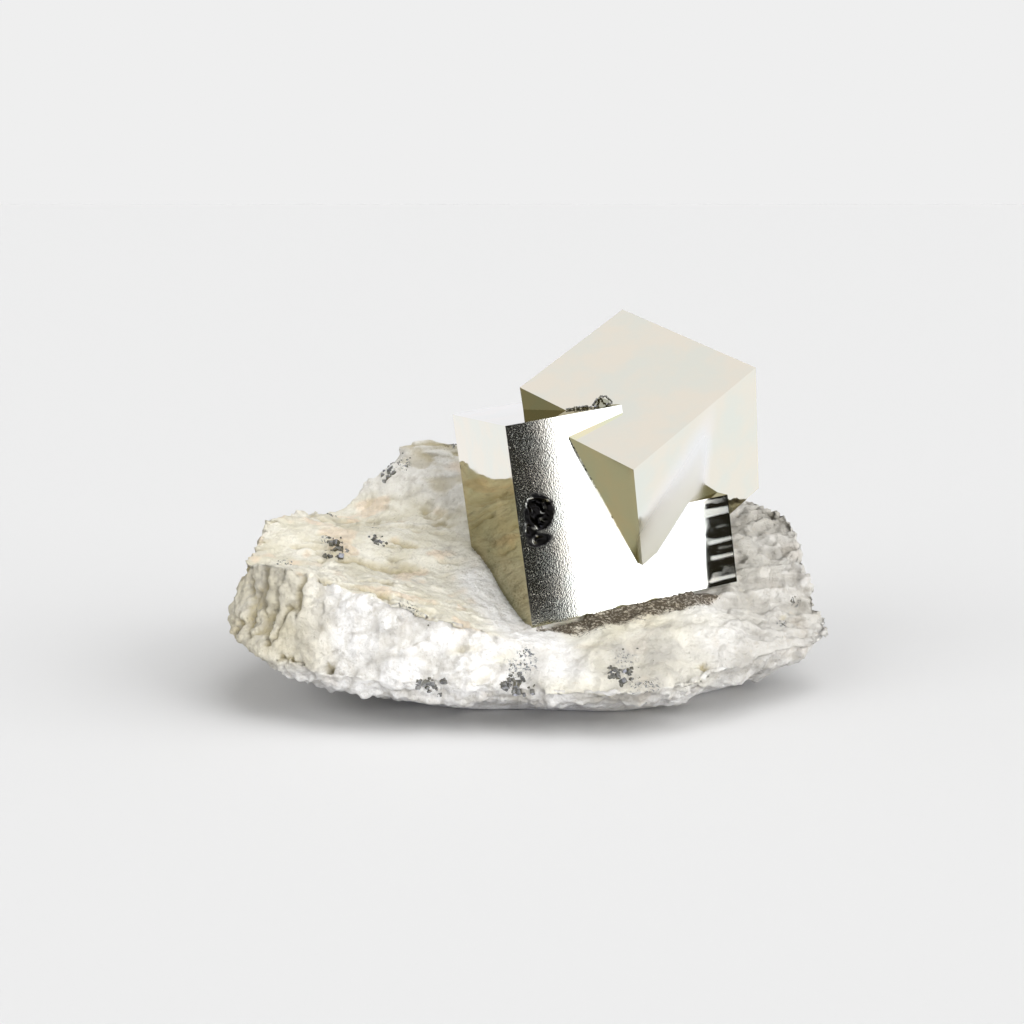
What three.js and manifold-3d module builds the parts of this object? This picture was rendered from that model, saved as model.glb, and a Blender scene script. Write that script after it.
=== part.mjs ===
// Pyrite specimen: two intergrown cubic crystals seated on a lump of pale marl.
// All lengths are millimetres, +Z is up, the specimen is seen from the -Y side.
// Everything is laid out in a working frame first and moved at the end, so that the
// origin is the middle of the footprint of the whole specimen, on the ground.
import * as THREE from 'three';
import { mergeVertices } from 'three/addons/utils/BufferGeometryUtils.js';
import Module from 'manifold-3d';

const wasm = await Module();
wasm.setup();

// ---------------------------------------------------------------- driving sizes

// Clear gap left all round wherever the rock is cut away for another piece.
const FIT_GAP = 0.3;

// Lower crystal, the one grown into the rock. Its box is width x depth x height
// along its own right, back and up directions, turned by the three angles below.
const LOWER = {
  centre: [10.9, 7.4, 24.4],
  size: [29.4, 20.6, 26.0],
  turnDegrees: [-1.5, -7.6, 20.7],
};

// The right-hand part of the lower crystal stopped growing earlier: it is a ledge.
const LEDGE_START = 15.9;
const LEDGE_DROP = 14.2;

// Upper crystal, poised on one corner and grown through the lower one.
const UPPER = {
  centre: [17.55, 9.63, 31.9],
  size: [22.7, 20.7, 21.1],
  turnDegrees: [30.7, -7.0, -43.5],
};

// Growth step of the upper crystal: a block on its right-hand end that stands proud
// of the front-left face and stops short of the crystal's underside.
const STEP_DEPTH = 3.7;
const STEP_LENGTH = 12.6;
const STEP_HEIGHT = 16.5;

// Small satellite crystals on the edge where the two big ones meet.
const SATELLITES = [
  { centre: [11.6, 0.2, 37.3], edge: 2.0, turnDegrees: [28, 32, 12] },
  { centre: [9.2, 0.4, 37.0], edge: 1.2, turnDegrees: [10, -24, 40] },
];

// The rock is lofted round this upright axis, which runs through its seat.
const ROCK_AXIS = [12, 7];

// Ribs of the rock, anticlockwise from the right-hand end. Azimuth is in degrees.
// rim is the widest point, brow the outer edge of the top: both [radius, height].
// collar is the height at which the rock meets the lower crystal.
const RIBS = [
  { azimuth: 4, rim: [29.0, 11.0], brow: [26.9, 15.8], collar: 14.2 },
  { azimuth: 14, rim: [29.0, 14.5], brow: [28.2, 20.0], collar: 15.8 },
  { azimuth: 26, rim: [27.5, 14.5], brow: [26.0, 21.4], collar: 17.5 },
  { azimuth: 50, rim: [25.0, 12.5], brow: [22.5, 21.0], collar: 19.0 },
  { azimuth: 85, rim: [23.0, 12.0], brow: [20.0, 21.0], collar: 20.0 },
  { azimuth: 114, rim: [28.0, 13.0], brow: [24.4, 24.0], collar: 20.0 },
  { azimuth: 132, rim: [35.8, 15.0], brow: [32.2, 28.0], collar: 19.4 },
  { azimuth: 141, rim: [41.0, 14.0], brow: [37.7, 26.4], collar: 18.2 },
  { azimuth: 150, rim: [44.6, 13.0], brow: [42.0, 19.3], collar: 17.2 },
  { azimuth: 161, rim: [44.8, 13.0], brow: [42.6, 19.6], collar: 16.8 },
  { azimuth: 173, rim: [46.5, 12.5], brow: [44.8, 21.2], collar: 16.2 },
  { azimuth: 187, rim: [49.8, 11.0], brow: [47.6, 17.4], collar: 15.0 },
  { azimuth: 198, rim: [49.0, 9.4], brow: [45.0, 18.8], collar: 13.4 },
  { azimuth: 208, rim: [45.8, 7.8], brow: [41.4, 18.6], collar: 12.2 },
  { azimuth: 222, rim: [38.4, 6.8], brow: [34.0, 15.8], collar: 10.9 },
  { azimuth: 236, rim: [31.2, 6.2], brow: [26.6, 12.4], collar: 10.0 },
  { azimuth: 254, rim: [27.6, 5.8], brow: [21.6, 9.8], collar: 10.6 },
  { azimuth: 276, rim: [27.0, 5.8], brow: [20.0, 9.8], collar: 11.4 },
  { azimuth: 300, rim: [26.2, 6.8], brow: [20.0, 10.6], collar: 12.4 },
  { azimuth: 324, rim: [26.4, 7.6], brow: [21.4, 10.6], collar: 12.8 },
  { azimuth: 342, rim: [30.4, 7.6], brow: [25.6, 9.0], collar: 12.6 },
  { azimuth: 352, rim: [29.6, 8.6], brow: [26.4, 10.2], collar: 13.2 },
];

// The underside: a flat foot, then an undercut rising to the rim.
const FOOT_SHARE = 0.6;
const UNDERCUT_SHARE = 0.93;
const UNDERCUT_RISE = 0.6;
const SEAT_HEIGHT = 12.0;
const COLLAR_MARGIN = 1.0;

// Mesh density of the rock: steps round the axis and rings on each run of a rib.
const ROCK_STEPS = 88;
const RING_COUNTS = { foot: 2, undercut: 3, side: 3, face: 4, top: 9, seat: 3 };

// Natural lumps on the rock: three sizes of swell laid over one another.
const LUMPS = [
  { height: 0.75, spacing: 9.0 },
  { height: 0.53, spacing: 4.2 },
  { height: 0.3, spacing: 2.6 },
];

// Each swell is three waves: their directions, and where along them they start.
const WAVES = [
  { direction: [1.0, 0.4, 0.0], start: 1.3 },
  { direction: [0.0, 0.9, -0.5], start: 0.4 },
  { direction: [0.6, 0.0, 0.8], start: 2.1 },
];

// Grains of pyrite scattered in the rock: where each one shows, and from which side.
const GRAINS = [
  { name: 'pyrite_grain_hump', at: [-17.3, 29.0], from: 'above', edge: 2.6, turn: 20 },
  { name: 'pyrite_grain_plateau_left', at: [-23.6, 6.5], from: 'above', edge: 2.2, turn: 35 },
  { name: 'pyrite_grain_plateau_mid', at: [-18.4, 10.0], from: 'above', edge: 1.6, turn: 65 },
  { name: 'pyrite_grain_front_left', at: [-9.9, 6.2], from: 'front', edge: 1.8, turn: 30 },
  { name: 'pyrite_grain_front_mid', at: [0.6, 6.0], from: 'front', edge: 2.4, turn: 15 },
  { name: 'pyrite_grain_front_right', at: [13.2, 7.4], from: 'front', edge: 2.2, turn: 50 },
];

// Share of a grain's edge that is sunk in the rock, and its width : depth : height.
const GRAIN_SINK = 0.35;
const GRAIN_SHAPE = [1.0, 0.8, 0.9];

// A grain leans about x by its turn, about y by half of it and about z by twice it.
const GRAIN_LEANS = [1.0, 0.5, 2.0];

const COLOURS = {
  pyrite: { color: 0xb9b08a, roughness: 0.12, metalness: 1.0 },
  marl: { color: 0xe6ddcc, roughness: 0.95, metalness: 0.0 },
};

// ---------------------------------------------------------------- small helpers

function material(slot) {
  return new THREE.MeshStandardMaterial({ ...COLOURS[slot], name: slot });
}

function turnOf(degrees) {
  const [x, y, z] = degrees.map(THREE.MathUtils.degToRad);
  return new THREE.Quaternion().setFromEuler(new THREE.Euler(x, y, z, 'XYZ'));
}

// Placement of a crystal: turned by its three angles about its own centre.
function placement(crystal) {
  const centre = new THREE.Vector3(...crystal.centre);
  return new THREE.Matrix4().compose(centre, turnOf(crystal.turnDegrees), new THREE.Vector3(1, 1, 1));
}

// Box between two corners given in a crystal's own frame, grown by a margin.
function boxBetween(low, high, margin = 0) {
  const size = low.map((value, axis) => high[axis] - value + 2 * margin);
  const middle = low.map((value, axis) => (high[axis] + value) / 2);
  return new THREE.BoxGeometry(...size).translate(...middle);
}

function toSolid(geometry) {
  const bare = geometry.clone();
  bare.deleteAttribute('normal');
  bare.deleteAttribute('uv');
  const welded = mergeVertices(bare, 1e-5);
  return new wasm.Manifold(new wasm.Mesh({
    numProp: 3,
    vertProperties: new Float32Array(welded.attributes.position.array),
    triVerts: new Uint32Array(welded.index.array),
  }));
}

function toGeometry(solid) {
  const mesh = solid.getMesh();
  const geometry = new THREE.BufferGeometry();
  geometry.setAttribute('position', new THREE.BufferAttribute(mesh.vertProperties, 3));
  geometry.setIndex(new THREE.BufferAttribute(mesh.triVerts, 1));
  geometry.computeVertexNormals();
  return geometry;
}

// ---------------------------------------------------------------- crystals

// Lower crystal as two blocks: full height on the left, the ledge on the right.
function lowerBlocks(margin) {
  const [x, y, z] = LOWER.size.map((length) => length / 2);
  const step = LEDGE_START - x;
  const blocks = [
    boxBetween([-x, -y, -z], [step, y, z], margin),
    boxBetween([-x, -y, -z], [x, y, z - LEDGE_DROP], margin),
  ];
  return blocks.map((block) => block.applyMatrix4(placement(LOWER)));
}

// Upper crystal as two blocks: the body, and the proud end in front of it.
function upperBlocks(margin) {
  const [x, y, z] = UPPER.size.map((length) => length / 2);
  const blocks = [
    boxBetween([-x, -y, -z], [x, y, z], margin),
    boxBetween([x - STEP_LENGTH, -y - STEP_DEPTH, z - STEP_HEIGHT], [x, y, z], margin),
  ];
  return blocks.map((block) => block.applyMatrix4(placement(UPPER)));
}

function satelliteBlocks() {
  return SATELLITES.map((crystal) => {
    const cube = new THREE.BoxGeometry(crystal.edge, crystal.edge, crystal.edge);
    return cube.applyMatrix4(placement(crystal));
  });
}

function crystalsSolid(margin = 0) {
  const blocks = [...lowerBlocks(margin), ...upperBlocks(margin), ...satelliteBlocks()];
  return blocks.map(toSolid).reduce((whole, block) => whole.add(block));
}

// ---------------------------------------------------------------- rock

// Radius at which the side of the lower crystal is met, going out at an azimuth.
function seatRadius(azimuth) {
  const [halfWidth, halfDepth] = [LOWER.size[0] / 2, LOWER.size[1] / 2];
  const turned = azimuth - THREE.MathUtils.degToRad(LOWER.turnDegrees[2]);
  const across = Math.abs(Math.cos(turned)) / halfWidth;
  const along = Math.abs(Math.sin(turned)) / halfDepth;
  return 1 / Math.max(across, along);
}

// Smooth curve through four values, used between the second and the third.
function smooth(before, start, end, after, share) {
  const bend = (2 * before - 5 * start + 4 * end - after) * share;
  const twist = (3 * (start - end) + after - before) * share * share;
  return start + (share / 2) * (end - before + bend + twist);
}

// Rim, brow and collar at any azimuth, read smoothly between the ribs.
function ribAt(azimuthDegrees) {
  const count = RIBS.length;
  const next = RIBS.findIndex((rib) => rib.azimuth > azimuthDegrees);
  const high = next < 0 ? count : next;
  const rib = (offset) => RIBS[(high + offset + count) % count];
  const endAzimuth = high === count ? 360 : RIBS[high].azimuth;
  const startAzimuth = rib(-1).azimuth;
  const share = (azimuthDegrees - startAzimuth) / (endAzimuth - startAzimuth);
  const read = (pick) => smooth(pick(rib(-2)), pick(rib(-1)), pick(rib(0)), pick(rib(1)), share);
  return {
    rimRadius: read((each) => each.rim[0]),
    rimHeight: read((each) => each.rim[1]),
    browRadius: read((each) => each.brow[0]),
    browHeight: read((each) => each.brow[1]),
    collarHeight: read((each) => each.collar),
  };
}

// One rib as rings of [radius, height, lumpiness], from the foot to the seat.
function ribRings(azimuthDegrees) {
  const rib = ribAt(azimuthDegrees);
  const collarRadius = seatRadius(THREE.MathUtils.degToRad(azimuthDegrees)) + COLLAR_MARGIN;
  const corners = [
    [0, 0, 0],
    [rib.rimRadius * FOOT_SHARE, 0, 0],
    [rib.rimRadius * UNDERCUT_SHARE, rib.rimHeight * UNDERCUT_RISE, 0.8],
    [rib.rimRadius, rib.rimHeight, 1],
    [rib.browRadius, rib.browHeight, 0.8],
    [collarRadius, rib.collarHeight, 0.3],
    [0, SEAT_HEIGHT, 0],
  ];
  const rings = [];
  Object.values(RING_COUNTS).forEach((count, run) => {
    for (let ring = 1; ring <= count; ring += 1) {
      const share = ring / count;
      const [start, end] = [corners[run], corners[run + 1]];
      rings.push(start.map((value, part) => THREE.MathUtils.lerp(value, end[part], share)));
    }
  });
  return rings.slice(0, -1);
}

// Gentle repeating swell, different in every direction, between -1 and 1.
function swell(point, spacing) {
  const turn = (2 * Math.PI) / spacing;
  const heights = WAVES.map(({ direction, start }) => {
    return Math.sin(turn * point.dot(new THREE.Vector3(...direction)) + start);
  });
  return heights.reduce((total, height) => total + height) / WAVES.length;
}

// The swells are turned on to each other's axes so that they never line up.
function lumpOffset({ x, y, z }) {
  const turned = [[x, y, z], [y, z, x], [z, x, y]].map((place) => new THREE.Vector3(...place));
  const heights = LUMPS.map((lump, index) => lump.height * swell(turned[index], lump.spacing));
  return heights.reduce((total, height) => total + height);
}

// Point on the rock: pushed out from the middle of the rock by the lumps.
function rockPoint(azimuth, [radius, height, lumpiness]) {
  const point = new THREE.Vector3(radius * Math.cos(azimuth), radius * Math.sin(azimuth), height);
  const outward = point.clone().sub(new THREE.Vector3(0, 0, SEAT_HEIGHT / 2)).normalize();
  point.addScaledVector(outward, lumpiness * lumpOffset(point));
  return point.add(new THREE.Vector3(ROCK_AXIS[0], ROCK_AXIS[1], 0));
}

function rockGeometry() {
  const points = [new THREE.Vector3(ROCK_AXIS[0], ROCK_AXIS[1], 0)];
  let ringsPerRib = 0;
  for (let step = 0; step < ROCK_STEPS; step += 1) {
    const degrees = (step / ROCK_STEPS) * 360;
    const rings = ribRings(degrees);
    ringsPerRib = rings.length;
    points.push(...rings.map((ring) => rockPoint(THREE.MathUtils.degToRad(degrees), ring)));
  }
  points.push(new THREE.Vector3(ROCK_AXIS[0], ROCK_AXIS[1], SEAT_HEIGHT));

  const vertex = (step, ring) => 1 + (step % ROCK_STEPS) * ringsPerRib + ring;
  const top = points.length - 1;
  const faces = [];
  for (let step = 0; step < ROCK_STEPS; step += 1) {
    faces.push(0, vertex(step + 1, 0), vertex(step, 0));
    for (let ring = 0; ring < ringsPerRib - 1; ring += 1) {
      const [low, nextLow] = [vertex(step, ring), vertex(step + 1, ring)];
      const [high, nextHigh] = [vertex(step, ring + 1), vertex(step + 1, ring + 1)];
      faces.push(low, nextLow, nextHigh, low, nextHigh, high);
    }
    faces.push(vertex(step, ringsPerRib - 1), vertex(step + 1, ringsPerRib - 1), top);
  }
  const geometry = new THREE.BufferGeometry().setFromPoints(points);
  geometry.setIndex(faces);
  return geometry;
}

// ---------------------------------------------------------------- grains

// Where a straight line towards the rock first touches it.
function touchPoint(rockMesh, grain) {
  const fromAbove = grain.from === 'above';
  const start = fromAbove
    ? new THREE.Vector3(grain.at[0], grain.at[1], 100)
    : new THREE.Vector3(grain.at[0], -100, grain.at[1]);
  const towards = fromAbove ? new THREE.Vector3(0, 0, -1) : new THREE.Vector3(0, 1, 0);
  const [touch] = new THREE.Raycaster(start, towards).intersectObject(rockMesh);
  return touch.point.addScaledVector(towards, grain.edge * GRAIN_SINK);
}

function grainGeometry(centre, grain, margin = 0) {
  const edge = grain.edge + 2 * margin;
  const cube = new THREE.BoxGeometry(...GRAIN_SHAPE.map((share) => edge * share));
  cube.applyQuaternion(turnOf(GRAIN_LEANS.map((lean) => grain.turn * lean)));
  return cube.translate(centre.x, centre.y, centre.z);
}

// ---------------------------------------------------------------- assembly

const rockBlank = rockGeometry();
const rockMesh = new THREE.Mesh(rockBlank, new THREE.MeshBasicMaterial({ side: THREE.DoubleSide }));
const grainCentres = GRAINS.map((grain) => touchPoint(rockMesh, grain));

let rock = toSolid(rockBlank).subtract(crystalsSolid(FIT_GAP));
GRAINS.forEach((grain, index) => {
  rock = rock.subtract(toSolid(grainGeometry(grainCentres[index], grain, FIT_GAP)));
});

const specimen = new THREE.Group();
specimen.name = 'pyrite_specimen';

function addPiece(name, geometry, slot) {
  const piece = new THREE.Mesh(geometry, material(slot));
  piece.name = name;
  specimen.add(piece);
}

addPiece('matrix', toGeometry(rock), 'marl');
addPiece('pyrite_crystals', toGeometry(crystalsSolid()), 'pyrite');
GRAINS.forEach((grain, index) => {
  addPiece(grain.name, grainGeometry(grainCentres[index], grain), 'pyrite');
});

// Move the origin to the middle of the footprint, on the ground.
const bounds = new THREE.Box3().setFromObject(specimen);
const middle = bounds.getCenter(new THREE.Vector3());
specimen.children.forEach((piece) => piece.geometry.translate(-middle.x, -middle.y, -bounds.min.z));

export default specimen;
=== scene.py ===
"""Pyrite specimen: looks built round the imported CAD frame.

The rock is sculpted over its CAD solid, the crystals get fine relief on each face, and
small clusters of grains stand for the CAD grains. Lengths are millimetres in the layout
frame of the CAD part until they are written to a mesh, which is in metres.
"""

import itertools
import math

import bmesh
import bpy
import numpy as np
from mathutils import Matrix, Vector
from mathutils.bvhtree import BVHTree


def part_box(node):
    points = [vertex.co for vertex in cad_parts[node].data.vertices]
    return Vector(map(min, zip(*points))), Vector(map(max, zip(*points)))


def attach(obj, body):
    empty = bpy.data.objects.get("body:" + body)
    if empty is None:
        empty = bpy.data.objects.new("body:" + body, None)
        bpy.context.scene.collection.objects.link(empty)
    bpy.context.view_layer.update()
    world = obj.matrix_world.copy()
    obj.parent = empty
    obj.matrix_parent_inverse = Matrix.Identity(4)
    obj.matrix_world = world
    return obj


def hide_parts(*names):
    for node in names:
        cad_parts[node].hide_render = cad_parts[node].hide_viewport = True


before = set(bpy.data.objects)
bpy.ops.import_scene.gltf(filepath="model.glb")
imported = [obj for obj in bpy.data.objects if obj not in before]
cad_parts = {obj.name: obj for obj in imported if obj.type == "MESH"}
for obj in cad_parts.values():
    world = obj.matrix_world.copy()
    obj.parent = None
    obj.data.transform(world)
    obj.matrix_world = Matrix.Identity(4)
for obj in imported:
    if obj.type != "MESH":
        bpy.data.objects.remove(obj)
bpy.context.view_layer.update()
MM = 0.001

# ------------------------------------------------------------------ layout

# The two large crystals, as in the CAD part: boxes turned about their own centres.
LOWER = {"centre": (10.9, 7.4, 24.4), "size": (29.4, 20.6, 26.0), "turn": (-1.5, -7.6, 20.7)}
UPPER = {"centre": (17.55, 9.63, 31.9), "size": (22.7, 20.7, 21.1), "turn": (30.7, -7.0, -43.5)}
LEDGE_START = 15.9
LEDGE_DROP = 14.2
STEP_DEPTH = 3.7
STEP_LENGTH = 12.6
STEP_HEIGHT = 16.5


def axes_of(crystal):
    """Columns are the crystal's right, back and up directions."""
    turned = Matrix.Identity(3)
    for degrees, name in zip(crystal["turn"], "XYZ"):
        turned = turned @ Matrix.Rotation(math.radians(degrees), 3, name)
    return np.array(turned)


LOWER_AXES = axes_of(LOWER)
UPPER_AXES = axes_of(UPPER)


def crystal_boxes():
    """Each block of the crystals as (crystal, axes, low corner, high corner)."""
    x, y, z = (length / 2 for length in LOWER["size"])
    lower = [
        ((-x, -y, -z), (LEDGE_START - x, y, z)),
        ((-x, -y, -z), (x, y, z - LEDGE_DROP)),
    ]
    x, y, z = (length / 2 for length in UPPER["size"])
    upper = [
        ((-x, -y, -z), (x, y, z)),
        ((x - STEP_LENGTH, -y - STEP_DEPTH, z - STEP_HEIGHT), (x, y, z)),
    ]
    boxes = [(LOWER, LOWER_AXES, *corners) for corners in lower]
    return boxes + [(UPPER, UPPER_AXES, *corners) for corners in upper]


BOXES = [(c, a, np.array(low), np.array(high)) for c, a, low, high in crystal_boxes()]
LOWER_CORNER = -np.array(LOWER["size"]) / 2


def along_axes(points, crystal, axes):
    """Places measured from a crystal's centre along its right, back and up directions."""
    return (points - np.array(crystal["centre"])) @ axes


def layout_offset():
    """Part position minus layout position, from where the crystals' box has gone."""
    corners = []
    for crystal, axes, low, high in BOXES:
        for pick in itertools.product((0, 1), repeat=3):
            local = np.where(pick, high, low)
            corners.append(np.array(crystal["centre"]) + axes @ local)
    high = np.array(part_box("pyrite_crystals")[1]) / MM
    return high - np.max(corners, axis=0)


OFFSET = layout_offset()


def to_part(points):
    """Layout millimetres to part metres."""
    return (np.asarray(points, float) + OFFSET) * MM


def to_layout(points):
    """Part metres to layout millimetres."""
    return np.asarray(points, float) / MM - OFFSET


# ------------------------------------------------------------------ numbers


def smoothstep(start, end, value):
    share = np.clip((value - start) / (end - start), 0.0, 1.0)
    return share * share * (3.0 - 2.0 * share)


def lattice_value(cells, seed):
    """Repeatable number from 0 to 1 for each whole-numbered lattice point."""
    c = cells.astype(np.int64).astype(np.uint32)
    h = c[:, 0] * np.uint32(374761393) + c[:, 1] * np.uint32(668265263)
    h = h + c[:, 2] * np.uint32(2246822519) + np.uint32((seed * 3266489917) % 2**32)
    h = (h ^ (h >> np.uint32(13))) * np.uint32(1274126177)
    h = (h ^ (h >> np.uint32(15))) * np.uint32(2246822519)
    return (h ^ (h >> np.uint32(16))) / 4294967295.0


def noise3(points, size, seed):
    """Smooth noise from -1 to 1, one swell per size millimetres."""
    place = points / size
    base = np.floor(place)
    part = place - base
    part = part * part * (3.0 - 2.0 * part)
    total = np.zeros(len(points))
    for corner in itertools.product((0.0, 1.0), repeat=3):
        weight = np.prod(np.where(corner, part, 1.0 - part), axis=1)
        total += weight * lattice_value(base + corner, seed)
    return 2.0 * total - 1.0


# Brings the spread of laid-over noise back to about -1 to 1.
FRACTAL_SPREAD = 1.6


def fractal(points, size, seed, octaves=4):
    """Noise with smaller and weaker noise laid over it."""
    total = np.zeros(len(points))
    strength, reach = 1.0, 0.0
    for octave in range(octaves):
        total += strength * noise3(points, size / 2**octave, seed + octave)
        reach += strength
        strength *= 0.5
    return total / reach * FRACTAL_SPREAD


def cells(points, size, seed):
    """Distances to the nearest and second nearest scattered seeds, in cell sizes."""
    place = points / size
    base = np.floor(place)
    best = np.full(len(points), 9.0)
    second = np.full(len(points), 9.0)
    for step in itertools.product((-1.0, 0.0, 1.0), repeat=3):
        cell = base + step
        jitter = np.stack([lattice_value(cell, seed + axis) for axis in range(3)], axis=1)
        away = np.linalg.norm(cell + jitter - place, axis=1)
        second = np.minimum(second, np.maximum(best, away))
        best = np.minimum(best, away)
    return best, second


def box_contact(points):
    """Distance to the crystals and the nearest point on them, for each point."""
    nearest = np.full(len(points), 1e9)
    contact = points.copy()
    for crystal, axes, low, high in BOXES:
        centre = np.array(crystal["centre"])
        local = (points - centre) @ axes
        closest = np.clip(local, low, high)
        away = np.linalg.norm(local - closest, axis=1)
        nearer = away < nearest
        nearest[nearer] = away[nearer]
        contact[nearer] = closest[nearer] @ axes.T + centre
    return nearest, contact


# ------------------------------------------------------------------ meshes


def vertex_array(mesh, name="co"):
    flat = np.zeros(len(mesh.vertices) * 3)
    mesh.vertices.foreach_get(name, flat)
    return flat.reshape(-1, 3)


def set_vertices(mesh, points):
    mesh.vertices.foreach_set("co", np.asarray(points, float).ravel())
    mesh.update()


def store(mesh, name, values):
    """Keeps one number per vertex for the material to read."""
    layer = mesh.attributes.new(name, "FLOAT", "POINT")
    layer.data.foreach_set("value", np.asarray(values, np.float32))


def new_object(name, mesh):
    obj = bpy.data.objects.new(name, mesh)
    bpy.context.scene.collection.objects.link(obj)
    return obj


def applied(obj):
    """The object's mesh with its modifiers applied."""
    graph = bpy.context.evaluated_depsgraph_get()
    mesh = bpy.data.meshes.new_from_object(obj.evaluated_get(graph))
    old = obj.data
    obj.modifiers.clear()
    obj.data = mesh
    bpy.data.meshes.remove(old)
    return mesh


# ------------------------------------------------------------------ materials


class Nodes:
    """Short-hand for building a material's node tree."""

    def __init__(self, name):
        self.material = bpy.data.materials.new(name)
        self.material.use_nodes = True
        self.tree = self.material.node_tree
        self.shader = self.tree.nodes["Principled BSDF"]
        self.object = self.add("ShaderNodeTexCoord").outputs["Object"]

    def add(self, kind, **settings):
        node = self.tree.nodes.new(kind)
        for key, value in settings.items():
            setattr(node, key, value)
        return node

    def link(self, source, target):
        self.tree.links.new(source, target)

    def set(self, node, **values):
        for key, value in values.items():
            socket = node.inputs[key.replace("_", " ")]
            if isinstance(value, bpy.types.NodeSocket):
                self.link(value, socket)
            else:
                socket.default_value = value

    def noise(self, size_mm, detail=4.0, roughness=0.55):
        node = self.add("ShaderNodeTexNoise")
        self.link(self.object, node.inputs["Vector"])
        self.set(node, Scale=1.0 / (size_mm * MM), Detail=detail, Roughness=roughness)
        return node.outputs["Fac"]

    def cell(self, size_mm):
        node = self.add("ShaderNodeTexVoronoi", feature="F1")
        self.link(self.object, node.inputs["Vector"])
        self.set(node, Scale=1.0 / (size_mm * MM))
        return node.outputs["Distance"]

    def attribute(self, name):
        return self.add("ShaderNodeAttribute", attribute_name=name).outputs["Fac"]

    def span(self, value, low, high, to_low=0.0, to_high=1.0):
        node = self.add("ShaderNodeMapRange", interpolation_type="SMOOTHSTEP")
        for socket, number in zip(node.inputs[1:5], (low, high, to_low, to_high)):
            socket.default_value = number
        self.link(value, node.inputs[0])
        return node.outputs[0]

    def math(self, operation, first, second):
        node = self.add("ShaderNodeMath", operation=operation)
        for socket, value in zip(node.inputs, (first, second)):
            if isinstance(value, bpy.types.NodeSocket):
                self.link(value, socket)
            else:
                socket.default_value = value
        return node.outputs[0]

    def mix(self, factor, first, second):
        """Colour first, turning into colour second as factor goes from 0 to 1."""
        node = self.add("ShaderNodeMix", data_type="RGBA")
        pairs = ((node.inputs[0], factor), (node.inputs[6], first), (node.inputs[7], second))
        for socket, value in pairs:
            if isinstance(value, bpy.types.NodeSocket):
                self.link(value, socket)
            else:
                socket.default_value = value if isinstance(value, float) else (*value, 1.0)
        return node.outputs[2]

    def bump(self, height, distance_mm, under=None):
        node = self.add("ShaderNodeBump")
        self.set(node, Height=height, Distance=distance_mm * MM, Strength=1.0)
        if under is not None:
            self.link(under, node.inputs["Normal"])
        return node.outputs["Normal"]


def marl_material():
    """Pale, mottled marl with stains, dusting and a gritty surface, and painted shade in its creases
    and below the lower crystal.
    """
    n = Nodes("marl")
    cream = n.mix(n.span(n.noise(5.0), 0.38, 0.66), (0.84, 0.81, 0.71), (0.71, 0.67, 0.54))
    mottle = n.span(n.noise(1.3, detail=6.0, roughness=0.65), 0.42, 0.68)
    chalk = n.mix(mottle, (0.92, 0.91, 0.89), (0.78, 0.76, 0.73))
    colour = n.mix(n.attribute("chalk"), cream, chalk)
    colour = n.mix(n.attribute("grey"), colour, (0.42, 0.40, 0.36))
    colour = n.mix(n.attribute("peach"), colour, (0.80, 0.63, 0.46))
    fleck = n.math("MULTIPLY", n.span(n.noise(0.9, detail=5.0, roughness=0.7), 0.54, 0.72), 0.45)
    colour = n.mix(fleck, colour, (0.56, 0.50, 0.40))
    crumbs = n.span(n.noise(0.5, detail=4.0, roughness=0.7), 0.56, 0.72, 0.0, 0.6)
    crumbly = n.span(n.noise(3.5, detail=3.0), 0.36, 0.58)
    colour = n.mix(n.math("MULTIPLY", crumbs, crumbly), colour, (0.45, 0.42, 0.35))
    colour = n.mix(n.attribute("pit"), colour, (0.46, 0.39, 0.22))
    # Painted shade: creases and cracks between the nodules are darkened in the colour.
    colour = n.mix(n.attribute("crease_shade"), colour, (0.50, 0.47, 0.41))
    # The crust mask is partly brown crust and dust, and partly painted shade under the lower crystal's
    # front edge.
    crust = n.attribute("crust")
    dust = n.math("ADD", n.noise(0.4, detail=6.0, roughness=0.7), n.math("MULTIPLY", crust, 0.22))
    dust = n.math("MULTIPLY", n.span(dust, 0.56, 0.72), n.span(crust, 0.02, 0.2, 0.0, 0.92))
    colour = n.mix(n.span(crust, 0.1, 0.9, 0.0, 0.6), colour, (0.36, 0.29, 0.19))
    colour = n.mix(dust, colour, (0.06, 0.045, 0.027))
    spotty = n.span(n.noise(0.4, detail=4.0, roughness=0.65), 0.50, 0.62)
    dot = n.math("MULTIPLY", spotty, n.attribute("speck"))
    colour = n.mix(dot, colour, (0.15, 0.16, 0.17))
    grit = n.bump(n.noise(0.6, detail=8.0, roughness=0.75), 0.55)
    pores = n.bump(n.span(n.cell(0.5), 0.0, 0.5), 0.05, under=grit)
    n.set(n.shader, Base_Color=colour, Normal=pores, Roughness=0.9)
    n.shader.inputs["Specular IOR Level"].default_value = 0.15
    return n.material


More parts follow.
